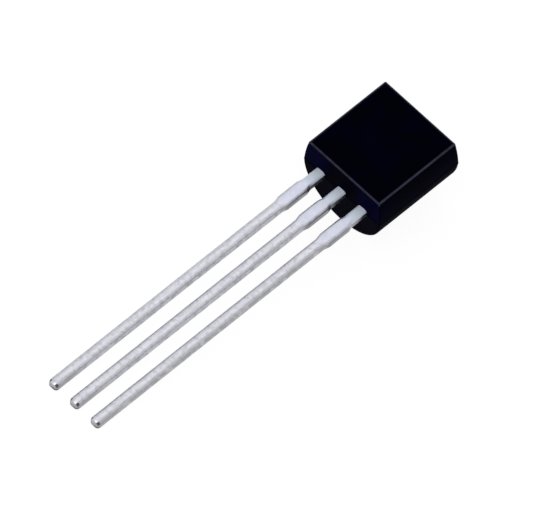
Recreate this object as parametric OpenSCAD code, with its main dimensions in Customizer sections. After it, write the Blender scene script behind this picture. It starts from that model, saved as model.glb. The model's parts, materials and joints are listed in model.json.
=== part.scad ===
// Temperature sensor chip in a three-lead moulded package with one flat face.
// It lies as it comes to rest on a table: flat face up, held by the lower exit edge of
// the rounded back and by the cut tips of the leads.
// Before it is laid down, X runs across the leads, the leads point along -Y from the
// exit plane at Y = 0, and Z = 0 is the middle of the stamped strip.

/* [Moulded body] */
// Width across the parting ridge, which is also the diameter of the rounded back
body_w = 4.62; // [4.4:0.02:5.2]
// Height from the lead exit to the top end, at the parting plane
body_h = 4.7; // [4.3:0.02:5.4]
// Distance from the middle of the leads to the flat face
flat_depth = 1.42; // [1.1:0.02:1.6]
// Width of the flat face, between its corners before they are rounded
flat_w = 4.28; // [3.8:0.02:4.36]
// Draft of the end where the leads come out, in degrees
exit_draft = 2.5; // [1:0.5:8]
// Draft of the top end, in degrees
top_draft = 4.5; // [1:0.5:8]
// Radius of the moulded edges round the flat face
edge_r = 0.06; // [0.04:0.01:0.2]
// Width of the mark that the broken mould gate leaves on the top end
gate_w = 0.9; // [0.5:0.05:1.4]
// Thickness of the gate mark
gate_t = 0.28; // [0.15:0.01:0.4]
// Height of the gate mark above the top end
gate_proud = 0.05; // [0.02:0.01:0.1]

/* [Leads outside the body] */
// Distance between the middles of neighbouring leads
pitch = 1.27; // [1.2:0.01:1.5]
// Length of each lead from the exit plane to its cut tip
lead_len = 15.7; // [12.7:0.1:20]
// Width of a lead
lead_w = 0.52; // [0.4:0.01:0.56]
// Thickness of the strip that all three leads are stamped from
strip_t = 0.47; // [0.35:0.01:0.51]
// Radius of the tinned long edges of a lead
lead_edge_r = 0.15; // [0.08:0.01:0.17]
// Radius of the rim round a cut tip
tip_r = 0.12; // [0.03:0.01:0.14]

/* [Tie bar stubs] */
// Length of the narrow neck between the body and the stub
neck_len = 0.84; // [0.4:0.02:1.6]
// Width of a lead across its stub
stub_w = 0.66; // [0.58:0.01:0.9]
// Length of the stub at its full width
stub_len = 1.1; // [0.5:0.05:2]
// Length of the shoulder from the neck out to the stub
shoulder_len = 0.25; // [0.1:0.05:0.5]
// Length of the taper from the stub back to the lead
taper_len = 0.3; // [0.2:0.05:0.8]

/* [Lead frame inside the body] */
// Height of a bond post's lower edge above the exit plane
post_y = 0.9; // [0.6:0.05:1.1]
// Width of a bond post
post_w = 1; // [0.8:0.05:1.2]
// Height of a bond post
post_h = 0.9; // [0.6:0.05:1.1]
// Distance that a bond post is set outwards from the middle of its lead
post_shift = 0.05; // [0:0.01:0.12]
// Gap between the bond posts and the die paddle
frame_gap = 0.35; // [0.25:0.05:0.5]
// Width of the die paddle
paddle_w = 2.4; // [1.6:0.1:3]
// Thickness of moulding compound above the die paddle
top_cover = 0.75; // [0.5:0.05:0.95]
// Radius of the stamped corners
stamp_r = 0.1; // [0.04:0.01:0.14]

/* [Chip and bonds] */
// Width of the silicon die
die_w = 1.1; // [0.8:0.05:1.5]
// Height of the silicon die
die_h = 1; // [0.8:0.05:1.2]
// Thickness of the silicon die
die_t = 0.25; // [0.15:0.01:0.35]
// Thickness of the adhesive under the die
attach_t = 0.03; // [0.02:0.005:0.06]
// Distance that the adhesive spreads past the die's edges
attach_rim = 0.06; // [0.02:0.01:0.1]
// Distance of the bond pads from the die's edges
pad_inset = 0.16; // [0.1:0.01:0.25]
// Diameter of the bond wires
wire_d = 0.05; // [0.04:0.005:0.06]
// Height of a wire's loop above the line between its two ends
loop_rise = 0.28; // [0.2:0.02:0.4]
// Diameter of the ball bond on the die
ball_d = 0.13; // [0.1:0.01:0.16]
// Length of the stitch bond on the lead frame
stitch_len = 0.18; // [0.14:0.01:0.24]
// Width of the stitch bond
stitch_w = 0.11; // [0.09:0.01:0.14]
// Distance from the die paddle to the middle lead's own stitch
ground_drop = 0.35; // [0.2:0.05:0.5]

/* [Hidden] */
left = -1;
centre = 0;
right = 1;
body_black = "#0d0d15";
tin_grey = "#cfd1dc";
adhesive_grey = "#8f9298";
silicon_blue = "#4a5064";
gold_yellow = "#d8a93a";
curve_steps = 96;
round_steps = 4;
flank_steps = 8;
back_r = body_w / 2;
// Length by which a cutting form passes the body on every side
beyond = back_r / 2;
// The flanks bow in from the parting ridge to the flat face, upright where they meet the back
flank_in = (body_w - flat_w) / 2;
flank_r = (flat_depth * flat_depth + flank_in * flank_in) / (2 * flank_in);
flank_sweep = asin(flat_depth / flank_r);
exit_slope = tan(exit_draft);
top_slope = tan(top_draft);
// A lead's rounded bar ends one lead width inside the body, in its sharp stamped strip
bar_root_y = lead_w;
strip_y = bar_root_y - lead_edge_r;
// The rim round a tip stays inside the rounded long edges
tip_rim = min(tip_r, 0.8 * lead_edge_r);
post_top = post_y + post_h;
paddle_y = post_top + frame_gap;
paddle_top = body_h - top_cover;
strip_face = strip_t / 2;
die_bottom = strip_face + attach_t;
die_top = die_bottom + die_t;
die_y = (paddle_y + paddle_top) / 2;
// Ball and stitch hold the whole end of a wire
bond_t = 1.2 * wire_d;
// The two places that touch the table, as [y, z]
back_foot = [back_r * exit_slope, -back_r];
tip_foot = [tip_rim - lead_len, -strip_face];
rest_tilt = atan2(tip_foot[1] - back_foot[1], back_foot[0] - tip_foot[0]);
// The ends of the laid part along Y, as [y, z] before it is laid down
far_top = [body_h - back_r * top_slope, -back_r];
far_tip = [-lead_len, strip_face - tip_rim];
rest_mid_y = (tilted(far_top)[0] + tilted(far_tip)[0]) / 2;

function tilted(p) = turned(p, rest_tilt);
function turned(p, a) = [p[0] * cos(a) - p[1] * sin(a), p[0] * sin(a) + p[1] * cos(a)];
function unit(v) = v / norm(v);

// Arc of radius r in the corner p between the neighbouring points a and b
function corner_arc(a, p, b, r) =
    let (
        u = unit(a - p),
        v = unit(b - p),
        half = acos(u * v) / 2,
        middle = p + unit(u + v) * r / sin(half),
        start = p + u * r / tan(half) - middle,
        sweep = sign(cross(v, u)) * (180 - 2 * half)
    )
    [for (i = [0:round_steps]) middle + turned(start, sweep * i / round_steps)];

// Closed outline with each corner rounded to its own radius, where 0 stays sharp
function rounded(points, radii) =
    let (n = len(points))
    [for (i = [0:n - 1])
        each radii[i] == 0
            ? [points[i]]
            : corner_arc(points[(i + n - 1) % n], points[i], points[(i + 1) % n], radii[i])];

function rounded_box(w, t, r) =
    rounded([[w / 2, t / 2], [-w / 2, t / 2], [-w / 2, -t / 2], [w / 2, -t / 2]], [r, r, r, r]);

// Lays a form down on the table and centres it over the origin
module at_rest() {
    translate([0, -rest_mid_y, -tilted(back_foot)[1]])
        rotate([rest_tilt, 0, 0])
            children();
}

// Half-round back below the parting plane and bowed flanks up to the flat face
module body_section() {
    flank = [for (i = [0:flank_steps])
        let (a = flank_sweep * i / flank_steps)
        [back_r - flank_r * (1 - cos(a)), flank_r * sin(a)]];
    other_flank = [for (i = [flank_steps:-1:0]) [-flank[i][0], flank[i][1]]];
    outline = concat(flank, other_flank);
    radii = [for (i = [0:len(outline) - 1])
        i == flank_steps || i == flank_steps + 1 ? edge_r : 0];
    difference() {
        circle(d = body_w, $fn = curve_steps);
        translate([-body_w, 0])
            square([2 * body_w, body_w]);
    }
    polygon(rounded(outline, radii));
}

// Both ends lean in from the parting plane, towards the flat face and towards the back
module body_side() {
    deep = back_r + beyond;
    polygon(rounded(
        [[0, 0], [flat_depth * exit_slope, flat_depth], [body_h - flat_depth * top_slope, flat_depth],
            [body_h, 0], [body_h - deep * top_slope, -deep], [deep * exit_slope, -deep]],
        [0, edge_r, edge_r, 0, 0, 0]));
}

module body_form() {
    intersection() {
        translate([0, body_h + beyond, 0])
            rotate([90, 0, 0])
                linear_extrude(body_h + 2 * beyond)
                    body_section();
        translate([-back_r - beyond, 0, 0])
            rotate([90, 0, 90])
                linear_extrude(body_w + 2 * beyond)
                    body_side();
    }
    translate([-gate_w / 2, paddle_top, -gate_t / 2])
        cube([gate_w, top_cover + gate_proud, gate_t]);
}

// Rounded bar from inside the body to the cut tip, with the stub of the sheared tie bar.
// Each station is [y, width, thickness, edge radius].
module lead_bar() {
    stub_start = neck_len + shoulder_len;
    stub_end = stub_start + stub_len;
    shank = [
        [bar_root_y, lead_w, strip_t, lead_edge_r],
        [-neck_len, lead_w, strip_t, lead_edge_r],
        [-stub_start, stub_w, strip_t, lead_edge_r],
        [-stub_end, stub_w, strip_t, lead_edge_r],
        [-stub_end - taper_len, lead_w, strip_t, lead_edge_r]];
    tip = [for (i = [0:round_steps])
        let (a = 90 * i / round_steps, inset = tip_rim * (1 - cos(a)))
        [tip_rim * (1 - sin(a)) - lead_len, lead_w - 2 * inset, strip_t - 2 * inset, lead_edge_r - inset]];
    stations = concat(shank, tip);
    ring = len(rounded_box(lead_w, strip_t, lead_edge_r));
    last = (len(stations) - 1) * ring;
    points = [for (s = stations)
        each [for (p = rounded_box(s[1], s[2], s[3])) [p[0], s[0], p[1]]]];
    sides = [for (k = [0:len(stations) - 2], i = [0:ring - 1])
        let (j = (i + 1) % ring)
        [k * ring + i, (k + 1) * ring + i, (k + 1) * ring + j, k * ring + j]];
    root_cap = [for (i = [0:ring - 1]) i];
    tip_cap = [for (i = [0:ring - 1]) last + ring - 1 - i];
    polyhedron(points, concat([root_cap], sides, [tip_cap]));
}

// Stamped T shape of the strip inside the body: a shank that widens into a head
module stamped_head(head_y, head_top, head_left, head_right) {
    half = lead_w / 2;
    linear_extrude(strip_t, center = true)
        polygon(rounded(
            [[-half, strip_y], [half, strip_y], [half, head_y], [head_right, head_y],
                [head_right, head_top], [head_left, head_top], [head_left, head_y], [-half, head_y]],
            [0, 0, stamp_r, stamp_r, stamp_r, stamp_r, stamp_r, stamp_r]));
}

module outer_lead_form() {
    translate([pitch, 0, 0]) {
        lead_bar();
        stamped_head(post_y, post_top, post_shift - post_w / 2, post_shift + post_w / 2);
    }
}

// Lead on one side of the package, or the middle one that carries the die paddle
module lead_form(side) {
    if (side == centre) {
        lead_bar();
        stamped_head(paddle_y, paddle_top, -paddle_w / 2, paddle_w / 2);
    } else if (side == left) {
        mirror([1, 0, 0])
            outer_lead_form();
    } else {
        outer_lead_form();
    }
}

module attach_form() {
    w = die_w + 2 * attach_rim;
    h = die_h + 2 * attach_rim;
    translate([-w / 2, die_y - h / 2, strip_face])
        cube([w, h, attach_t]);
}

module die_form() {
    translate([-die_w / 2, die_y - die_h / 2, die_bottom])
        cube([die_w, die_h, die_t]);
}

function bond_pad(side) =
    [side * (die_w / 2 - pad_inset), die_y - die_h / 2 + pad_inset];
function bond_landing(side) =
    side == centre
        ? [0, paddle_y - ground_drop]
        : [side * (pitch + post_shift), post_y + post_h / 2];

// Wire from its ball on the die, up over a loop and down to its stitch on the strip.
// The loop is an arc in the upright plane through both ends, as [along, z].
module wire_form(side) {
    pad = bond_pad(side);
    run = bond_landing(side) - pad;
    from = [0, die_top + bond_t / 2];
    to = [norm(run), strip_face + bond_t / 2];
    chord = to - from;
    half_chord = norm(chord) / 2;
    loop_r = (half_chord * half_chord + loop_rise * loop_rise) / (2 * loop_rise);
    middle = (from + to) / 2 - turned(unit(chord), 90) * (loop_r - loop_rise);
    start = to - middle;
    sweep = 2 * atan2(half_chord, loop_r - loop_rise);
    translate([pad[0], pad[1], 0])
        rotate([0, 0, atan2(run[1], run[0])]) {
            translate([middle[0], 0, middle[1]])
                rotate([90, 0, 0])
                    rotate([0, 0, atan2(start[1], start[0])])
                        rotate_extrude(angle = sweep, $fn = curve_steps)
                            translate([loop_r, 0])
                                circle(d = wire_d, $fn = curve_steps);
            translate([0, 0, die_top])
                cylinder(d = ball_d, h = bond_t, $fn = curve_steps);
            translate([to[0] - stitch_len / 2, -stitch_w / 2, strip_face])
                cube([stitch_len, stitch_w, bond_t]);
        }
}

module moulded_body() {
    color(body_black)
        at_rest()
            difference() {
                body_form();
                for (side = [left, centre, right])
                    lead_form(side);
                attach_form();
                die_form();
                for (side = [left, centre, right])
                    wire_form(side);
            }
}

module lead_left() {
    color(tin_grey)
        at_rest()
            lead_form(left);
}

module lead_centre() {
    color(tin_grey)
        at_rest()
            lead_form(centre);
}

module lead_right() {
    color(tin_grey)
        at_rest()
            lead_form(right);
}

module die_attach() {
    color(adhesive_grey)
        at_rest()
            attach_form();
}

module sensor_die() {
    color(silicon_blue)
        at_rest()
            die_form();
}

module bond_wire_left() {
    color(gold_yellow)
        at_rest()
            wire_form(left);
}

module bond_wire_centre() {
    color(gold_yellow)
        at_rest()
            wire_form(centre);
}

module bond_wire_right() {
    color(gold_yellow)
        at_rest()
            wire_form(right);
}

moulded_body();
lead_left();
lead_centre();
lead_right();
die_attach();
sensor_die();
bond_wire_left();
bond_wire_centre();
bond_wire_right();
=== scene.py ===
"""Temperature sensor chip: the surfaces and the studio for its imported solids.

The moulded body and the three leads are modelled with their moulded, stamped and tinned surfaces.
The sealed pieces keep their solids and get their finishes.
"""

import json
import math
from types import SimpleNamespace

import bmesh
import bpy
from bpy.props import FloatProperty, FloatVectorProperty, PointerProperty
from mathutils import Matrix, Vector


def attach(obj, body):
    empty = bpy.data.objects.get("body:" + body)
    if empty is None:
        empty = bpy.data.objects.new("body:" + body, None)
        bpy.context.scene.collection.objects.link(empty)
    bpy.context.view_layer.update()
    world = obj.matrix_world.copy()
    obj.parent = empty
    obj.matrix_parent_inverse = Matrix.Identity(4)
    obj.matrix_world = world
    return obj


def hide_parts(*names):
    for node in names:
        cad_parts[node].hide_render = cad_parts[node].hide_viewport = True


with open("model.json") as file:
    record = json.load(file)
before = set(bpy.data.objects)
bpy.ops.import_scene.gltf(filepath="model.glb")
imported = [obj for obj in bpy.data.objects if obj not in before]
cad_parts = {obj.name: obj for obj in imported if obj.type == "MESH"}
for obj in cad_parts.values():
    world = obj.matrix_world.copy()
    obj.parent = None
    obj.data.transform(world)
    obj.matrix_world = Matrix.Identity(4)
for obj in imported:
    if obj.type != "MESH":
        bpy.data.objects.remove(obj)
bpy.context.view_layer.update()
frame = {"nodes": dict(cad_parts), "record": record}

bl_info = {
    "name": "Temperature Sensor Chip",
    "version": (1, 0, 0),
    "blender": (4, 5, 0),
    "location": "3D View > Sidebar > Sensor",
    "description": "Models a leaded temperature sensor chip and the studio that it lies in",
    "category": "Add Mesh",
}

# Pieces are modelled in millimetres in the package's own frame, and then laid down.
# X runs across the leads, the leads point along -Y from the exit plane, +Z leaves the flat face.
MM = 0.001
MOUNTS = {mount["name"]: mount for mount in frame["record"]["mounts"]}
FACE_OUT = Vector(MOUNTS["flat_front"]["axis"])
LEADS_OUT = Vector(MOUNTS["lead_row"]["axis"])
PACKAGE_TURN = Matrix((LEADS_OUT.cross(FACE_OUT) * -1, -LEADS_OUT, FACE_OUT)).transposed()
PACKAGE_ORIGIN = Vector(MOUNTS["lead_row"]["pos_m"])
PACKAGE = Matrix.LocRotScale(PACKAGE_ORIGIN, PACKAGE_TURN, Vector((MM, MM, MM)))
# Depth of the grain of the moulding compound and of the pits in the tin, in millimetres
GRAIN_DEPTH, PIT_DEPTH = 0.004, 0.002
# A lead is wider than this only at its stub, in millimetres from its middle
STUB_START, STUB_FULL = 0.27, 0.31
# Where the tin changes along a lead, in millimetres from the exit plane.
# Each pair is the start and the end of a change.
STUB_BEGINS, STUB_ENDS = (-2.6, -2.2), (-0.75, -1.0)
# The last of these, next to the body, is where painted light goes on the lead tops and painted shade on
# their sides
NEAR_BODY, BRIGHT_SIDES, PAINTED_ROOT = (-3.0, -2.0), (-2.4, -1.2), (-1.1, -0.6)
# The sides get darker towards the tips between these places, in millimetres from the exit plane
TIP_DARKER = (-13.6, -15.0)
# The right lead's outer side is darker: by how much, how far from its middle it is fully darker,
# in millimetres, and how far the darker colour climbs its rounded edge, as a share of its normal
OUTER_DARKER, OUTER_FULL, OUTER_CLIMB = 0.15, 0.1, 0.3
# A face looks along an axis if that part of its normal is above this
SQUARE_ON = 0.9
# The flat face itself, without its rounded edges
FLAT_ON = 0.99
# Two places closer than this are the same place
TOUCH = 0.002

LEADS = {
    "lead_left": "tinned_lead_left",
    "lead_centre": "tinned_lead_centre",
    "lead_right": "tinned_lead_right",
}
SEALED = {
    "die_attach": "die_adhesive",
    "sensor_die": "silicon",
    "bond_wire_left": "bond_wire",
    "bond_wire_centre": "bond_wire",
    "bond_wire_right": "bond_wire",
}
BODY_SIDES = 128
FLANK_STEPS = 8
EDGE_STEPS = 4
LEAD_EDGE_STEPS = 5
SHANK_CUTS = 110
STUB_CUTS = 6
GATE_CUTS = 4
GATE_SEED = 3
TIP_STEPS = 4
# A point of a tip's rim belongs to a corner if its two distances from the middle are alike by this share
SHADE_CORNER = 0.5
# Painted shade on a tip's left corners, where the right ones have 1
SHADE_LEFT = 0.6
# Parts of the rounded end that get painted shade, above and below its middle, as shares of its length
# from the very end
SHADE_ABOVE = (0.2, 0.8)
SHADE_BELOW = 0.8
SHARP_ANGLE = math.radians(35)
BEVEL_ANGLE = math.radians(40)
# Rounded edges turn by more than this from one strip to the next, bowed walls by less
ROUND_ANGLE = math.radians(16)
# The flat face turns by more than this where its rounded edge starts
RIM_ANGLE = math.radians(4)


def solid_points(node):
    """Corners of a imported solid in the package's frame, in millimetres."""
    to_package = PACKAGE.inverted()
    return [to_package @ v.co for v in frame["nodes"][node].data.vertices]


def measured_body():
    """Driving sizes of the moulded body, read from its solid."""
    points = solid_points("moulded_body")
    half = max(p.x for p in points)
    height = max(p.y for p in points if abs(p.x) > half / 2)
    deep = [p for p in points if p.z < -0.9 * half]
    gate = [p for p in points if p.y > height + TOUCH]
    return SimpleNamespace(
        width=2 * half,
        height=height,
        flat_depth=max(p.z for p in points),
        exit_lean=min(p.y / -p.z for p in deep),
        top_lean=min((height - p.y) / -p.z for p in deep),
        gate_w=2 * max(p.x for p in gate),
        gate_t=2 * max(p.z for p in gate),
        gate_proud=max(p.y for p in gate) - height,
    )


def measured_lead(node):
    """Outline and head of a lead, read from its solid. The outline is a list of (y, width)."""
    points = solid_points(node)
    outside = [p for p in points if p.y < 0]
    length = -min(p.y for p in points)
    left, right = min(p.x for p in outside), max(p.x for p in outside)
    middle = (left + right) / 2
    thick = 2 * max(p.z for p in points)
    widths = {}
    for p in outside:
        if p.y > thick - length:
            y = round(p.y, 3)
            widths[y] = max(widths.get(y, 0), 2 * abs(p.x - middle))
    inside = [p for p in points if p.y > 0]
    head_right = max(p.x for p in inside)
    head_top = max(p.y for p in inside)
    side = [p.y for p in inside if p.x > head_right - TOUCH]
    corner = head_top - max(side)
    return SimpleNamespace(
        middle=middle,
        length=length,
        thick=thick,
        outline=sorted(widths.items(), reverse=True),
        head_left=min(p.x for p in inside),
        head_right=head_right,
        head_foot=min(side) - corner,
        head_top=head_top,
        corner=corner,
    )


BODY = measured_body()


class SensorBody(bpy.types.PropertyGroup):
    """Sizes and colours of the moulded body."""

    width: FloatProperty(
        name="Width",
        description="Width across the parting ridge",
        default=BODY.width * MM,
        unit="LENGTH",
    )
    height: FloatProperty(
        name="Height",
        description="Height at the parting plane",
        default=BODY.height * MM,
        unit="LENGTH",
    )
    flat_depth: FloatProperty(
        name="Flat Depth",
        description="Distance from the parting plane to the flat face",
        default=BODY.flat_depth * MM,
        unit="LENGTH",
    )
    flat_width: FloatProperty(
        name="Flat Width",
        description="Width of the flat face before rounding",
        default=0.00428,
        unit="LENGTH",
    )
    edge_radius: FloatProperty(
        name="Edge Radius",
        description="Radius of the moulded edges",
        default=0.00006,
        unit="LENGTH",
    )
    ridge_width: FloatProperty(
        name="Ridge Width", description="Width of the parting ridge", default=0.00004, unit="LENGTH"
    )
    ridge_rise: FloatProperty(
        name="Ridge Rise",
        description="Height of the parting ridge",
        default=0.000012,
        unit="LENGTH",
    )
    gate_break: FloatProperty(
        name="Gate Break",
        description="Roughness of the broken face on the gate mark",
        default=0.00003,
        unit="LENGTH",
    )
    compound: FloatVectorProperty(
        name="Compound",
        description="Colour of the moulding compound",
        default=(0.0004, 0.0004, 0.0026),
        subtype="COLOR",
    )
    filler: FloatVectorProperty(
        name="Filler",
        description="Colour of its paler patches",
        default=(0.0005, 0.0005, 0.006),
        subtype="COLOR",
    )
    bloom: FloatVectorProperty(
        name="Bloom",
        description="Colour of the bloom beside the leads",
        default=(0.0008, 0.0008, 0.015),
        subtype="COLOR",
    )
    # Painted highlight: a paler colour along the edges of the flat face, where the rounded edges would
    # catch light
    rubbed: FloatVectorProperty(
        name="Rubbed Edge",
        description="Colour of its rubbed edges",
        default=(0.042, 0.042, 0.068),
        subtype="COLOR",
    )


class SensorLeads(bpy.types.PropertyGroup):
    """Sizes and colours of the tinned leads."""

    edge_radius: FloatProperty(
        name="Edge Radius",
        description="Radius of the tinned long edges",
        default=0.00015,
        unit="LENGTH",
    )
    tip_radius: FloatProperty(
        name="Tip Radius",
        description="Radius of the rim round a cut tip",
        default=0.00012,
        unit="LENGTH",
    )
    tip_dome: FloatProperty(
        name="Tip Dome",
        description="Length of the rounded end of a tip",
        default=0.0002,
        unit="LENGTH",
    )
    crown: FloatProperty(
        name="Crown",
        description="Height of the tin over the middle of a face",
        default=0.00009,
        unit="LENGTH",
    )
    ripple: FloatProperty(
        name="Ripple",
        description="Height of the ripples in the tin",
        default=0.000012,
        unit="LENGTH",
    )
    ripple_length: FloatProperty(
        name="Ripple Length",
        description="Length of the ripples in the tin",
        default=0.0009,
        unit="LENGTH",
    )
    tin: FloatVectorProperty(
        name="Tin",
        description="Colour of the rolled faces",
        default=(0.705, 0.71, 0.768),
        subtype="COLOR",
    )
    tin_dull: FloatVectorProperty(
        name="Dull Tin",
        description="Colour of duller streaks",
        default=(0.565, 0.57, 0.617),
        subtype="COLOR",
    )
    tin_near: FloatVectorProperty(
        name="Tin at the Stubs",
        description="Colour of the stubs' faces",
        default=(0.645, 0.665, 0.785),
        subtype="COLOR",
    )
    # Painted light: a brighter, bluer tin on the lead tops next to the body, where the metal would
    # mirror the dark body
    tin_root: FloatVectorProperty(
        name="Tin at the Body",
        description="Colour of the tin next to the body",
        default=(0.76, 0.84, 0.97),
        subtype="COLOR",
    )
    # Partly painted shade: the sides are sheared and duller, and their colour is also darker to stand in
    # for shade
    sheared_and_shaded: FloatVectorProperty(
        name="Sheared Sides",
        description="Colour of the sheared sides",
        default=(0.61, 0.615, 0.66),
        subtype="COLOR",
    )
    darker_side: FloatVectorProperty(
        name="Stained Sides",
        description="Colour of darker patches on the sides",
        default=(0.39, 0.39, 0.415),
        subtype="COLOR",
    )
    # On the stubs this is the bare cut metal; on the necks next to the body it is painted shade
    cut: FloatVectorProperty(
        name="Cut Sides",
        description="Colour of the cut sides of the stubs and necks",
        default=(0.28, 0.28, 0.31),
        subtype="COLOR",
    )
    # Painted shade: the dark spots and rim round a tip stand in for shadow and dark reflections at its
    # edges
    worn: FloatVectorProperty(
        name="Worn Tips",
        description="Colour of the worn rim round a tip",
        default=(0.09, 0.09, 0.095),
        subtype="COLOR",
    )


class SensorSealed(bpy.types.PropertyGroup):
    """Colours of the pieces that are sealed in the body."""

    adhesive: FloatVectorProperty(
        name="Adhesive",
        description="Colour of the die adhesive",
        default=(0.42, 0.43, 0.45),
        subtype="COLOR",
    )
    silicon: FloatVectorProperty(
        name="Silicon",
        description="Colour of the bare silicon",
        default=(0.16, 0.18, 0.26),
        subtype="COLOR",
    )
    traces: FloatVectorProperty(
        name="Traces",
        description="Colour of the metal on the die",
        default=(0.55, 0.52, 0.45),
        subtype="COLOR",
    )
    gold: FloatVectorProperty(
        name="Gold",
        description="Colour of the bond wires",
        default=(0.85, 0.62, 0.20),
        subtype="COLOR",
    )


class SensorStage(bpy.types.PropertyGroup):
    """Camera, light and floor."""

    azimuth: FloatProperty(
        name="Azimuth",
        description="Turn of the camera round the part",
        default=math.radians(35.8),
        subtype="ANGLE",
    )
    elevation: FloatProperty(
        name="Elevation",
        description="Height of the camera over the floor",
        default=math.radians(52.094),
        subtype="ANGLE",
    )
    roll: FloatProperty(
        name="Roll",
        description="Turn of the camera about its own axis",
        default=math.radians(12.495),
        subtype="ANGLE",
    )
    distance: FloatProperty(
        name="Distance",
        description="Distance from the camera to its target",
        default=0.9,
        unit="LENGTH",
    )
    view_width: FloatProperty(
        name="View Width",
        description="Width of the picture at the target",
        default=0.0227027,
        unit="LENGTH",
    )
    target: FloatVectorProperty(
        name="Target",
        description="Point in the middle of the picture",
        default=(0.0000422, 0.0012319, 0.0010924),
        subtype="TRANSLATION",
        unit="LENGTH",
    )
    sky: FloatProperty(name="Sky", description="Strength of the light from all round", default=0.65)
    key_place: FloatVectorProperty(
        name="Key Place",
        description="Place of the lamp behind the part",
        default=(-0.2, 0.22, 0.74),
        subtype="TRANSLATION",
        unit="LENGTH",
    )
    key_power: FloatProperty(
        name="Key Power",
        description="Power of the lamp behind the part",
        default=0.36,
        unit="POWER",
    )
    key_size: FloatProperty(
        name="Key Size", description="Side of the lamp behind the part", default=0.6, unit="LENGTH"
    )
    fill_place: FloatVectorProperty(
        name="Fill Place",
        description="Place of the lamp in front of the part",
        default=(0.1, -0.6, 0.8),
        subtype="TRANSLATION",
        unit="LENGTH",
    )
    fill_power: FloatProperty(
        name="Fill Power",
        description="Power of the lamp in front of the part",
        default=3.0,
        unit="POWER",
    )
    fill_size: FloatProperty(
        name="Fill Size",
        description="Side of the lamp in front of the part",
        default=0.9,
        unit="LENGTH",
    )
    floor_glow: FloatProperty(
        name="Floor Glow",
        description="Share of the floor's white that no shadow takes",
        default=0.88,
        subtype="FACTOR",
    )
    floor_white: FloatProperty(name="Floor White", description="Strength of that white", default=1.06)
    floor_size: FloatProperty(
        name="Floor Size", description="Side of the floor", default=6.0, unit="LENGTH"
    )
    floor: FloatVectorProperty(
        name="Floor", description="Colour of the floor", default=(0.9, 0.9, 0.9), subtype="COLOR"
    )


def in_mm(group):
    """The lengths of a property group in millimetres."""
    lengths = [p.identifier for p in group.bl_rna.properties if p.type == "FLOAT" and p.unit == "LENGTH"]
    return SimpleNamespace(**{name: getattr(group, name) / MM for name in lengths})


def opaque(colour):
    """A colour with full alpha, as the shader sockets take it."""
    return (*colour, 1.0)


# Modelling

def start_piece(name, add_primitive, **place):
    """Adds a primitive as the only selected object, applies its turn, and opens it for editing."""
    bpy.ops.object.select_all(action="DESELECT")
    add_primitive(**place)
    piece = bpy.context.active_object
    piece.name = name
    piece.data.name = name
    bpy.ops.object.transform_apply(location=True, rotation=True, scale=True)
    bpy.ops.object.mode_set(mode="EDIT")
    return piece


def pick(piece, kind, test):
    """Selects those faces, edges or verts of the piece in edit mode that the test takes."""
    bpy.ops.mesh.select_mode(type={"faces": "FACE", "edges": "EDGE", "verts": "VERT"}[kind])
    bpy.ops.mesh.select_all(action="DESELECT")
    mesh = bmesh.from_edit_mesh(piece.data)
    found = [part for part in getattr(mesh, kind) if test(part)]
    if not found:
        raise RuntimeError(f"{piece.name} has no {kind} at that place")
    for part in found:
        part.select_set(True)
    mesh.select_flush_mode()
    bmesh.update_edit_mesh(piece.data)


def extrude(shift):
    """Extrudes the selected faces by a shift."""
    bpy.ops.mesh.extrude_region_move(TRANSFORM_OT_translate={"value": shift})


def cut_away(place, outward):
    """Cuts the whole piece at a plane, drops what is outside and closes the cut."""
    bpy.ops.mesh.select_all(action="SELECT")
    bpy.ops.mesh.bisect(plane_co=place, plane_no=outward, use_fill=True, clear_outer=True)


def bevel(radius, steps):
    """Rounds the selected edges."""
    bpy.ops.mesh.bevel(offset=radius, segments=steps, affect="EDGES", clamp_overlap=False)


def add_mark(piece, name):
    """Gives the piece an attribute that marks some of its points for its material."""
    bpy.ops.object.mode_set(mode="OBJECT")
    piece.data.attributes.new(name, "FLOAT", "POINT")
    piece.data.attributes.active = piece.data.attributes[name]
    bpy.ops.object.mode_set(mode="EDIT")


def apply_modifier(piece, kind, **settings):
    """Adds a modifier to the piece, which is the active object, and applies it."""
    modifier = piece.modifiers.new(kind.title(), kind)
    for key, value in settings.items():
        setattr(modifier, key, value)
    bpy.ops.object.modifier_apply(modifier=modifier.name)


def make_active(piece):
    """Leaves the piece as the only selected object, and the active one."""
    bpy.ops.object.select_all(action="DESELECT")
    piece.select_set(True)
    bpy.context.view_layer.objects.active = piece


def lay_down(piece):
    """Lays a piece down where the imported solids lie, with its place in its mesh."""
    make_active(piece)
    piece.matrix_world = PACKAGE
    bpy.ops.object.transform_apply(location=True, rotation=True, scale=True)


def smooth(piece):
    """Shades a piece smooth across its rounded edges and keeps its flat faces flat."""
    make_active(piece)
    bpy.ops.object.shade_smooth_by_angle(angle=SHARP_ANGLE)
    apply_modifier(piece, "WEIGHTED_NORMAL", keep_sharp=True)


def dress(piece, node, material):
    """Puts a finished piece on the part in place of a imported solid."""
    piece.data.materials.clear()
    piece.data.materials.append(material)
    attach(piece, "root")
    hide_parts(node)


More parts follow.
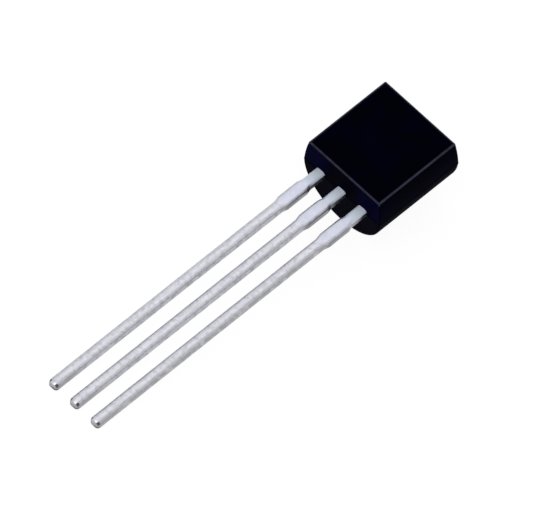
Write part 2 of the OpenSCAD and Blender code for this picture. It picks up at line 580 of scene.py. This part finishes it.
def shape_lead(name, lead, size):
    """One stamped lead: shank, stub, cut tip and the head inside the body."""
    width = lead.outline[0][1]
    face = lead.thick / 2
    piece = start_piece(
        name,
        bpy.ops.mesh.primitive_plane_add,
        size=1,
        location=(lead.middle, lead.head_foot, 0),
        rotation=(math.pi / 2, 0, 0),
    )
    foot = (lead.middle, lead.head_foot, 0)
    bpy.ops.transform.resize(value=(width, 1, lead.thick), center_override=foot)
    y, w = lead.head_foot, width
    for next_y, next_w in [*lead.outline, (size.tip_dome - lead.length, width)]:
        extrude((0, next_y - y, 0))
        bpy.ops.transform.resize(value=(next_w / w, 1, 1), center_override=(lead.middle, 0, 0))
        y, w = next_y, next_w
    bpy.ops.mesh.select_all(action="SELECT")
    bpy.ops.mesh.normals_make_consistent(inside=False)

    def at_head(part):
        return part.calc_center_median().y > lead.head_foot + TOUCH

    pick(piece, "faces", lambda f: f.normal.y > SQUARE_ON)
    extrude((0, lead.head_top - lead.head_foot, 0))
    pick(piece, "faces", lambda f: f.normal.x > SQUARE_ON and at_head(f))
    extrude((lead.head_right - lead.middle - width / 2, 0, 0))
    pick(piece, "faces", lambda f: f.normal.x < -SQUARE_ON and at_head(f))
    extrude((lead.head_left - lead.middle + width / 2, 0, 0))

    def is_head_corner(edge):
        a, b = (v.co for v in edge.verts)
        outer = a.x > lead.head_right - TOUCH or a.x < lead.head_left + TOUCH
        return outer and abs(a.z - b.z) > face

    pick(piece, "edges", is_head_corner)
    bevel(lead.corner, EDGE_STEPS)

    def is_long_edge(edge):
        a, b = (v.co for v in edge.verts)
        return max(a.y, b.y) < lead.head_foot + TOUCH and abs(a.y - b.y) > TOUCH

    pick(piece, "edges", is_long_edge)
    bevel(size.edge_radius, LEAD_EDGE_STEPS)
    round_tip(piece, lead, size)

    taper_end, dome_start = lead.outline[-1][0], size.tip_dome - lead.length

    def is_shank_edge(edge):
        low, high = sorted(v.co.y for v in edge.verts)
        return is_long_edge(edge) and low > dome_start - TOUCH and high < taper_end + TOUCH

    pick(piece, "edges", is_shank_edge)
    bpy.ops.mesh.subdivide(number_cuts=SHANK_CUTS)
    pick(piece, "edges", lambda e: is_long_edge(e) and min(v.co.y for v in e.verts) > taper_end - TOUCH)
    bpy.ops.mesh.subdivide(number_cuts=STUB_CUTS)
    bpy.ops.object.mode_set(mode="OBJECT")
    return piece


def round_tip(piece, lead, size):
    """Rounds a cut tip off ring by ring, and marks the corners of its rim that get painted shade."""
    full_x, full_z = lead.outline[0][1], lead.thick

    def is_end(part):
        return part.normal.y < -SQUARE_ON and part.calc_center_median().y < full_z - lead.length

    pick(piece, "faces", is_end)
    x, y, z = full_x, 0, full_z
    for step in range(1, TIP_STEPS + 1):
        turn = math.pi / 2 * step / TIP_STEPS
        inset = 2 * size.tip_radius * (1 - math.cos(turn))
        next_x, next_y, next_z = full_x - inset, size.tip_dome * math.sin(turn), full_z - inset
        extrude((0, y - next_y, 0))
        bpy.ops.transform.resize(value=(next_x / x, 1, next_z / z), center_override=(lead.middle, 0, 0))
        x, y, z = next_x, next_y, next_z

    def is_tip_shade(vert):
        across, up = vert.co.x - lead.middle, vert.co.z
        from_end = (vert.co.y + lead.length) / size.tip_dome
        if up < 0:
            return from_end < SHADE_BELOW and abs(across) > SHADE_CORNER * -up
        first, last = SHADE_ABOVE
        at_corner = abs(across) > SHADE_CORNER * up and up > SHADE_CORNER * abs(across)
        return at_corner and first < from_end < last

    add_mark(piece, "worn")
    pick(piece, "verts", is_tip_shade)
    bpy.ops.mesh.attribute_set(value_float=SHADE_LEFT)
    pick(piece, "verts", lambda v: is_tip_shade(v) and v.co.x > lead.middle)
    bpy.ops.mesh.attribute_set(value_float=1.0)


def ripple_texture(size):
    """Soft lumps that the molten tin leaves on the leads."""
    texture = bpy.data.textures.new("tin_ripple", "CLOUDS")
    texture.noise_scale = size.ripple_length
    texture.noise_depth = 1
    return texture


def shape_body(size):
    """The moulded body: half-round back, bowed flanks, flat face, drafted ends and rounded edges."""
    half = size.width / 2
    flank_in = half - size.flat_width / 2
    flank_r = (size.flat_depth**2 + flank_in**2) / (2 * flank_in)
    flank_sweep = math.asin(size.flat_depth / flank_r)
    piece = start_piece(
        "epoxy_body",
        bpy.ops.mesh.primitive_cylinder_add,
        vertices=BODY_SIDES,
        radius=half,
        depth=2 * size.height,
        location=(0, size.height / 2, 0),
        rotation=(math.pi / 2, 0, 0),
    )
    cut_away((0, 0, 0), (0, 0, 1))
    pick(piece, "faces", lambda f: f.normal.z > SQUARE_ON)
    x, z = half, 0
    for step in range(1, FLANK_STEPS + 1):
        turn = flank_sweep * step / FLANK_STEPS
        next_x = half - flank_r * (1 - math.cos(turn))
        next_z = flank_r * math.sin(turn)
        extrude((0, 0, next_z - z))
        bpy.ops.transform.resize(value=(next_x / x, 1, 1), center_override=(0, 0, 0))
        x, z = next_x, next_z
    for end_y, outward, lean in ((0, -1, BODY.exit_lean), (size.height, 1, BODY.top_lean)):
        cut_away((0, end_y, 0), (0, outward, lean))
        cut_away((0, end_y, 0), (0, outward, -lean))

    pick(piece, "edges", lambda e: e.calc_face_angle(0) > BEVEL_ANGLE)
    bevel(size.edge_radius, EDGE_STEPS)

    def is_flat(part):
        return part.normal.z > FLAT_ON and part.calc_center_median().z > size.flat_depth - TOUCH

    pick(piece, "faces", is_flat)
    bpy.ops.mesh.inset(thickness=size.edge_radius / 2)

    # Marks the edges of the flat face that get the painted highlight
    def is_highlight_edge(edge):
        low = min(v.co.z for v in edge.verts)
        if low > size.flat_depth - TOUCH:
            return edge.calc_face_angle(0) > RIM_ANGLE
        return low > size.flat_depth - size.edge_radius and edge.calc_face_angle(0) > ROUND_ANGLE

    add_mark(piece, "rubbed")
    pick(piece, "edges", is_highlight_edge)
    bpy.ops.mesh.attribute_set(value_float=1.0)

    for side in (1, -1):
        bpy.ops.mesh.select_all(action="SELECT")
        bpy.ops.mesh.bisect(plane_co=(0, 0, side * size.ridge_width / 2), plane_no=(0, 0, 1))
    pick(piece, "verts", lambda v: abs(v.co.z) < TOUCH)
    bpy.ops.transform.shrink_fatten(value=size.ridge_rise)
    break_gate(piece, size)
    bpy.ops.object.mode_set(mode="OBJECT")
    return piece


def break_gate(piece, size):
    """The rough mark on the top end where the mould gate broke off."""
    half_w, half_t = BODY.gate_w / 2, BODY.gate_t / 2
    cuts = [((side * half_w, 0, 0), (1, 0, 0)) for side in (1, -1)]
    cuts += [((0, 0, side * half_t), (0, 0, 1)) for side in (1, -1)]

    def is_top(face):
        return face.normal.y > SQUARE_ON

    def is_gate(face):
        middle = face.calc_center_median()
        return is_top(face) and abs(middle.x) < half_w and abs(middle.z) < half_t

    for place, across in cuts:
        pick(piece, "faces", is_top)
        bpy.ops.mesh.bisect(plane_co=place, plane_no=across)
    pick(piece, "faces", is_gate)
    extrude((0, BODY.gate_proud, 0))
    bpy.ops.mesh.subdivide(number_cuts=GATE_CUTS)
    bpy.ops.transform.vertex_random(offset=size.gate_break, seed=GATE_SEED)


# Finishes

def add_node(tree, kind, inputs=None, **settings):
    """Adds a shader node, sets its options, and links or sets its inputs."""
    made = tree.nodes.new(kind)
    for key, value in settings.items():
        setattr(made, key, value)
    for socket, value in (inputs or {}).items():
        if isinstance(value, bpy.types.NodeSocket):
            tree.links.new(value, made.inputs[socket])
        else:
            made.inputs[socket].default_value = value
    return made


def start_finish(name):
    """A material with a bare shader, and a vector in the package's millimetres for its patterns."""
    material = bpy.data.materials.new(name)
    material.use_nodes = True
    tree = material.node_tree
    tree.nodes.clear()
    shader = add_node(tree, "ShaderNodeBsdfPrincipled")
    add_node(tree, "ShaderNodeOutputMaterial", {"Surface": shader.outputs["BSDF"]})
    place = add_node(tree, "ShaderNodeTexCoord")
    package = add_node(
        tree,
        "ShaderNodeMapping",
        {
            "Vector": place.outputs["Object"],
            "Location": PACKAGE_ORIGIN,
            "Rotation": PACKAGE_TURN.to_euler(),
            "Scale": (MM, MM, MM),
        },
        vector_type="TEXTURE",
    )
    return SimpleNamespace(
        material=material, tree=tree, shader=shader, place=place, package=package.outputs["Vector"]
    )


def noise(finish, per_mm, detail=2.0, vector=None):
    """Grey noise with about that many lumps to the millimetre."""
    made = add_node(
        finish.tree,
        "ShaderNodeTexNoise",
        {"Vector": vector or finish.package, "Scale": per_mm, "Detail": detail},
    )
    return made.outputs["Fac"]


def ramp(finish, value, low, high, start=0.0, end=1.0):
    """Maps a value from one range to another, and holds it there."""
    made = add_node(
        finish.tree,
        "ShaderNodeMapRange",
        {"Value": value, "From Min": low, "From Max": high, "To Min": start, "To Max": end},
        interpolation_type="SMOOTHSTEP",
    )
    return made.outputs["Result"]


def blend(finish, share, first, second):
    """Mixes two colours by a share."""
    made = add_node(
        finish.tree,
        "ShaderNodeMix",
        {"Factor": share, "A": first, "B": second},
        data_type="RGBA",
    )
    return made.outputs["Result"]


def calc(finish, operation, first, second=0.0, third=0.0):
    """Works out one value from up to three."""
    made = add_node(finish.tree, "ShaderNodeMath", {0: first, 1: second, 2: third}, operation=operation)
    return made.outputs["Value"]


def connect(finish, socket, value):
    """Links a value to an input of the finish's shader."""
    finish.tree.links.new(value, finish.shader.inputs[socket])


def add_bump(finish, height, depth_mm, strength=1.0):
    """Raises the surface by a pattern of that depth."""
    made = add_node(
        finish.tree,
        "ShaderNodeBump",
        {"Height": height, "Distance": depth_mm * MM, "Strength": strength},
    )
    connect(finish, "Normal", made.outputs["Normal"])


def attribute(finish, name):
    """A mark on the piece's own points."""
    made = add_node(finish.tree, "ShaderNodeAttribute", attribute_name=name)
    return made.outputs["Fac"]


def facing(finish, direction):
    """How far the surface looks along a direction, from -1 to 1."""
    made = add_node(
        finish.tree,
        "ShaderNodeVectorMath",
        {0: finish.place.outputs["Normal"], 1: direction},
        operation="DOT_PRODUCT",
    )
    return made.outputs["Value"]


def compound_finish(colours):
    """Black moulding compound: fine filler grain, bluish bloom beside the leads, and a painted highlight
    along the flat face's edges.
    """
    finish = start_finish("moulding_compound")
    place = add_node(finish.tree, "ShaderNodeSeparateXYZ", {"Vector": finish.package})
    cloud = noise(finish, 0.8, 3.0)
    grain = noise(finish, 22.0, 4.0)
    patches = ramp(finish, cloud, 0.35, 0.7)
    tint = blend(finish, patches, opaque(colours.compound), opaque(colours.filler))
    beside = ramp(finish, calc(finish, "ABSOLUTE", place.outputs["X"]), 0.7, 1.2)
    above = ramp(finish, place.outputs["Z"], -0.1, 0.4)
    bloom = calc(finish, "MULTIPLY", beside, above)
    bloom = calc(finish, "MULTIPLY", bloom, ramp(finish, facing(finish, LEADS_OUT), 0.7, 0.95))
    tint = blend(finish, bloom, tint, opaque(colours.bloom))
    patchy = ramp(finish, noise(finish, 3.0, 3.0), 0.3, 0.6, 0.7, 1.0)
    # Painted highlight along the edges of the flat face, broken into patches
    edge = calc(finish, "MULTIPLY", attribute(finish, "rubbed"), patchy)
    connect(finish, "Base Color", blend(finish, edge, tint, opaque(colours.rubbed)))
    connect(finish, "Roughness", ramp(finish, grain, 0.3, 0.7, 0.48, 0.62))
    finish.shader.inputs["Specular IOR Level"].default_value = 0.003
    add_bump(finish, grain, GRAIN_DEPTH, 0.6)
    return finish.material


def tin_finish(colours, pitch):
    """Tinned strip: crowned rolled faces, duller sides that also hold painted shade, bare cut stubs,
    painted light on the tops and painted shade on the sides next to the body, and painted shade round
    the tips.
    """
    finish = start_finish("tinned_lead")
    tree = finish.tree
    place = add_node(tree, "ShaderNodeSeparateXYZ", {"Vector": finish.package})
    off_middle = calc(finish, "PINGPONG", place.outputs["X"], pitch / 2)
    along = add_node(tree, "ShaderNodeMapping", {"Vector": finish.package, "Scale": (1.0, 0.12, 1.0)})
    streak = noise(finish, 9.0, 3.0, along.outputs["Vector"])
    mottle = noise(finish, 3.2, 3.0)
    pits = noise(finish, 14.0, 2.0)
    pebble = noise(finish, 5.0, 2.0)
    upright = calc(finish, "ABSOLUTE", facing(finish, FACE_OUT))
    y = place.outputs["Y"]
    stub = calc(finish, "MULTIPLY", ramp(finish, y, *STUB_BEGINS), ramp(finish, y, *STUB_ENDS))
    sharp = calc(finish, "MULTIPLY", stub, ramp(finish, off_middle, 0.19, 0.28))
    blunt = calc(finish, "SUBTRACT", 1.0, sharp)
    near = ramp(finish, y, *NEAR_BODY)
    flatter = ramp(finish, near, 0.0, 1.0, 1.0, 0.3)
    outer = ramp(finish, place.outputs["X"], pitch, pitch + OUTER_FULL)
    outer = calc(finish, "MULTIPLY", outer, calc(finish, "SUBTRACT", 1.0, near))
    level = calc(finish, "MULTIPLY_ADD", outer, -OUTER_CLIMB, upright)
    rolled = calc(finish, "MULTIPLY", ramp(finish, level, 0.1, 0.9), blunt)
    # Painted light on the lead tops next to the body: the brighter tin below, with less metal shine, in
    # place of the body's dark reflection
    root = calc(finish, "MULTIPLY", ramp(finish, y, *PAINTED_ROOT), ramp(finish, upright, 0.1, 0.6))

    tin = blend(finish, near, opaque(colours.tin), opaque(colours.tin_near))
    dull = calc(finish, "MAXIMUM", ramp(finish, streak, 0.4, 0.8), ramp(finish, pebble, 0.45, 0.65))
    dull = calc(finish, "MULTIPLY", dull, flatter)
    tin = blend(finish, dull, tin, opaque(colours.tin_dull))
    patches = calc(finish, "MULTIPLY_ADD", outer, OUTER_DARKER, mottle)
    # Sides darker in random patches, towards the tips and on the right lead's outer side
    darker_patches = calc(finish, "MAXIMUM", ramp(finish, patches, 0.4, 0.7), ramp(finish, y, *TIP_DARKER))
    side = blend(finish, darker_patches, opaque(colours.sheared_and_shaded), opaque(colours.darker_side))
    side = blend(finish, ramp(finish, off_middle, STUB_START, STUB_FULL), side, opaque(colours.cut))
    # Painted shade on the sides of the necks next to the body
    side = blend(finish, ramp(finish, y, *PAINTED_ROOT), side, opaque(colours.cut))
    # The sides take the darker side colour, which is partly painted shade
    face = blend(finish, rolled, side, tin)
    # Painted light: the brighter tin on the tops next to the body
    face = blend(finish, root, face, opaque(colours.tin_root))
    # Painted shade in spots round the tip's rim
    spots = calc(finish, "MULTIPLY_ADD", noise(finish, 7.0, 2.0), 0.8, attribute(finish, "worn"))
    face = blend(finish, ramp(finish, spots, 0.75, 1.05), face, opaque(colours.worn))
    connect(finish, "Base Color", face)
    connect(finish, "Roughness", ramp(finish, mottle, 0.3, 0.7, 0.30, 0.40))
    bright = ramp(finish, upright, 0.5, 0.95, 0.35, 1.0)
    bright = calc(finish, "MAXIMUM", bright, ramp(finish, y, *BRIGHT_SIDES))
    connect(finish, "Metallic", calc(finish, "MULTIPLY_ADD", root, -0.9, bright))

    half = pitch / 4
    fall = -colours.crown / MM / half**2
    crown = calc(finish, "MULTIPLY", calc(finish, "POWER", off_middle, 2.0), fall)
    crown = calc(finish, "MULTIPLY", crown, flatter)
    add_bump(finish, calc(finish, "MULTIPLY_ADD", pits, PIT_DEPTH, crown), 1.0)
    return finish.material


def adhesive_finish(colours):
    """Die adhesive filled with metal flakes."""
    finish = start_finish("die_adhesive")
    flakes = noise(finish, 30.0, 2.0)
    shade = tuple(0.7 * c for c in colours.adhesive)
    tint = blend(finish, ramp(finish, flakes, 0.4, 0.6), opaque(shade), opaque(colours.adhesive))
    connect(finish, "Base Color", tint)
    connect(finish, "Roughness", ramp(finish, flakes, 0.3, 0.7, 0.35, 0.6))
    finish.shader.inputs["Metallic"].default_value = 0.5
    return finish.material


def silicon_finish(colours):
    """Polished silicon with a fine layout of metal lines."""
    finish = start_finish("silicon")
    layout = add_node(
        finish.tree,
        "ShaderNodeTexBrick",
        {
            "Vector": finish.package,
            "Color1": opaque(colours.silicon),
            "Color2": opaque(tuple(0.7 * c for c in colours.silicon)),
            "Mortar": opaque(colours.traces),
            "Scale": 9.0,
            "Mortar Size": 0.02,
        },
    )
    connect(finish, "Base Color", layout.outputs["Color"])
    connect(finish, "Roughness", ramp(finish, noise(finish, 12.0), 0.3, 0.7, 0.12, 0.25))
    finish.shader.inputs["Metallic"].default_value = 0.6
    return finish.material


def gold_finish(colours):
    """Drawn gold wire."""
    finish = start_finish("bond_wire")
    worked = noise(finish, 40.0, 2.0)
    shade = tuple(0.8 * c for c in colours.gold)
    connect(finish, "Base Color", blend(finish, worked, opaque(colours.gold), opaque(shade)))
    connect(finish, "Roughness", ramp(finish, worked, 0.3, 0.7, 0.15, 0.3))
    finish.shader.inputs["Metallic"].default_value = 1.0
    return finish.material


# Stage

def seen_directly(tree):
    """1 for rays that show the background: from the camera, off gloss and through clear pieces."""
    path = add_node(tree, "ShaderNodeLightPath")
    first = add_node(
        tree,
        "ShaderNodeMath",
        {0: path.outputs["Is Camera Ray"], 1: path.outputs["Is Glossy Ray"]},
        operation="MAXIMUM",
    )
    either = add_node(
        tree,
        "ShaderNodeMath",
        {0: first.outputs["Value"], 1: path.outputs["Is Transmission Ray"]},
        operation="MAXIMUM",
    )
    return either.outputs["Value"]


def add_floor(stage):
    """A plain white floor that keeps a soft shadow."""
    bpy.ops.object.select_all(action="DESELECT")
    bpy.ops.mesh.primitive_plane_add(size=stage.floor_size)
    floor = bpy.context.active_object
    floor.name = "floor"
    material = bpy.data.materials.new("floor")
    material.use_nodes = True
    tree = material.node_tree
    tree.nodes.clear()
    matt = add_node(tree, "ShaderNodeBsdfDiffuse", {"Color": opaque(stage.floor)})
    glow = add_node(tree, "ShaderNodeEmission", {"Strength": stage.floor_white})
    share = add_node(
        tree,
        "ShaderNodeMath",
        {0: seen_directly(tree), 1: stage.floor_glow},
        operation="MULTIPLY",
    )
    shown = add_node(
        tree,
        "ShaderNodeMixShader",
        {0: share.outputs["Value"], 1: matt.outputs["BSDF"], 2: glow.outputs["Emission"]},
    )
    add_node(tree, "ShaderNodeOutputMaterial", {"Surface": shown.outputs["Shader"]})
    floor.data.materials.append(material)


def light_world(stage):
    """Even light from all round, on a white background."""
    world = bpy.data.worlds.new("studio")
    bpy.context.scene.world = world
    world.use_nodes = True
    tree = world.node_tree
    tree.nodes.clear()
    strength = add_node(
        tree, "ShaderNodeMapRange", {"Value": seen_directly(tree), "To Min": stage.sky, "To Max": 1.0}
    )
    sky = add_node(tree, "ShaderNodeBackground", {"Strength": strength.outputs["Result"]})
    add_node(tree, "ShaderNodeOutputWorld", {"Surface": sky.outputs["Background"]})


def add_lamp(name, place, power, size):
    """One square soft lamp that looks at the part."""
    bpy.ops.object.light_add(type="AREA", location=place)
    lamp = bpy.context.active_object
    lamp.name = name
    lamp.rotation_euler = Vector(place).to_track_quat("Z", "Y").to_euler()
    lamp.data.energy = power
    lamp.data.size = size


def add_camera(stage):
    """The camera of the picture."""
    turn = Matrix.Rotation(stage.azimuth, 4, "Z")
    turn = turn @ Matrix.Rotation(math.pi / 2 - stage.elevation, 4, "X")
    turn = turn @ Matrix.Rotation(stage.roll, 4, "Z")
    back = turn @ Vector((0, 0, stage.distance))
    bpy.ops.object.camera_add()
    camera = bpy.context.active_object
    camera.name = "camera"
    camera.matrix_world = Matrix.Translation(Vector(stage.target) + back) @ turn
    camera.data.lens = camera.data.sensor_width * stage.distance / stage.view_width
    bpy.context.scene.camera = camera


class SENSOR_OT_stage(bpy.types.Operator):
    """Set up the camera, the light and the floor"""

    bl_idname = "sensor.stage"
    bl_label = "Stage"

    def execute(self, context):
        stage = context.scene.sensor_stage
        context.scene.view_settings.view_transform = "Standard"
        add_camera(stage)
        light_world(stage)
        add_lamp("key_lamp", stage.key_place, stage.key_power, stage.key_size)
        add_lamp("fill_lamp", stage.fill_place, stage.fill_power, stage.fill_size)
        add_floor(stage)
        return {"FINISHED"}


class SENSOR_OT_leads(bpy.types.Operator):
    """Model the three stamped and tinned leads"""

    bl_idname = "sensor.leads"
    bl_label = "Leads"

    def execute(self, context):
        size = in_mm(context.scene.sensor_leads)
        texture = ripple_texture(size)
        leads = {node: measured_lead(node) for node in LEADS}
        pitch = leads["lead_right"].middle - leads["lead_centre"].middle
        material = tin_finish(context.scene.sensor_leads, pitch)
        for node, name in LEADS.items():
            piece = shape_lead(name, leads[node], size)
            apply_modifier(
                piece, "DISPLACE", texture=texture, texture_coords="LOCAL", strength=size.ripple
            )
            smooth(piece)
            lay_down(piece)
            dress(piece, node, material)
        return {"FINISHED"}


class SENSOR_OT_moulded_body(bpy.types.Operator):
    """Model the moulded body round the leads and the sealed pieces"""

    bl_idname = "sensor.moulded_body"
    bl_label = "Moulded Body"

    def execute(self, context):
        sizes = context.scene.sensor_body
        piece = shape_body(in_mm(sizes))
        smooth(piece)
        lay_down(piece)
        dress(piece, "moulded_body", compound_finish(sizes))
        return {"FINISHED"}


class SENSOR_OT_sealed_pieces(bpy.types.Operator):
    """Give the sealed die, adhesive and wires their finishes"""

    bl_idname = "sensor.sealed_pieces"
    bl_label = "Sealed Pieces"

    def execute(self, context):
        colours = context.scene.sensor_sealed
        finishes = {
            "die_adhesive": adhesive_finish(colours),
            "silicon": silicon_finish(colours),
            "bond_wire": gold_finish(colours),
        }
        for node, slot in SEALED.items():
            solid = frame["nodes"][node]
            solid.data.materials.clear()
            solid.data.materials.append(finishes[slot])
        return {"FINISHED"}


class SENSOR_PT_panel(bpy.types.Panel):
    """Lists the steps that make the sensor"""

    bl_label = "Temperature Sensor Chip"
    bl_idname = "SENSOR_PT_panel"
    bl_space_type = "VIEW_3D"
    bl_region_type = "UI"
    bl_category = "Sensor"

    def draw(self, context):
        for step in STEPS:
            self.layout.operator(step.bl_idname)
        for group in GROUPS:
            settings = getattr(context.scene, group)
            box = self.layout.box()
            for name in settings.bl_rna.properties.keys():
                if name not in {"rna_type", "name"}:
                    box.prop(settings, name)


STEPS = [SENSOR_OT_stage, SENSOR_OT_leads, SENSOR_OT_moulded_body, SENSOR_OT_sealed_pieces]
GROUPS = {
    "sensor_body": SensorBody,
    "sensor_leads": SensorLeads,
    "sensor_sealed": SensorSealed,
    "sensor_stage": SensorStage,
}


def register():
    for made in [*GROUPS.values(), *STEPS, SENSOR_PT_panel]:
        bpy.utils.register_class(made)
    for name, group in GROUPS.items():
        setattr(bpy.types.Scene, name, PointerProperty(type=group))


def unregister():
    for name in GROUPS:
        delattr(bpy.types.Scene, name)
    for made in reversed([*GROUPS.values(), *STEPS, SENSOR_PT_panel]):
        bpy.utils.unregister_class(made)


def main():
    register()
    bpy.ops.sensor.stage()
    bpy.ops.sensor.leads()
    bpy.ops.sensor.moulded_body()
    bpy.ops.sensor.sealed_pieces()


if __name__ == "__main__":
    main()
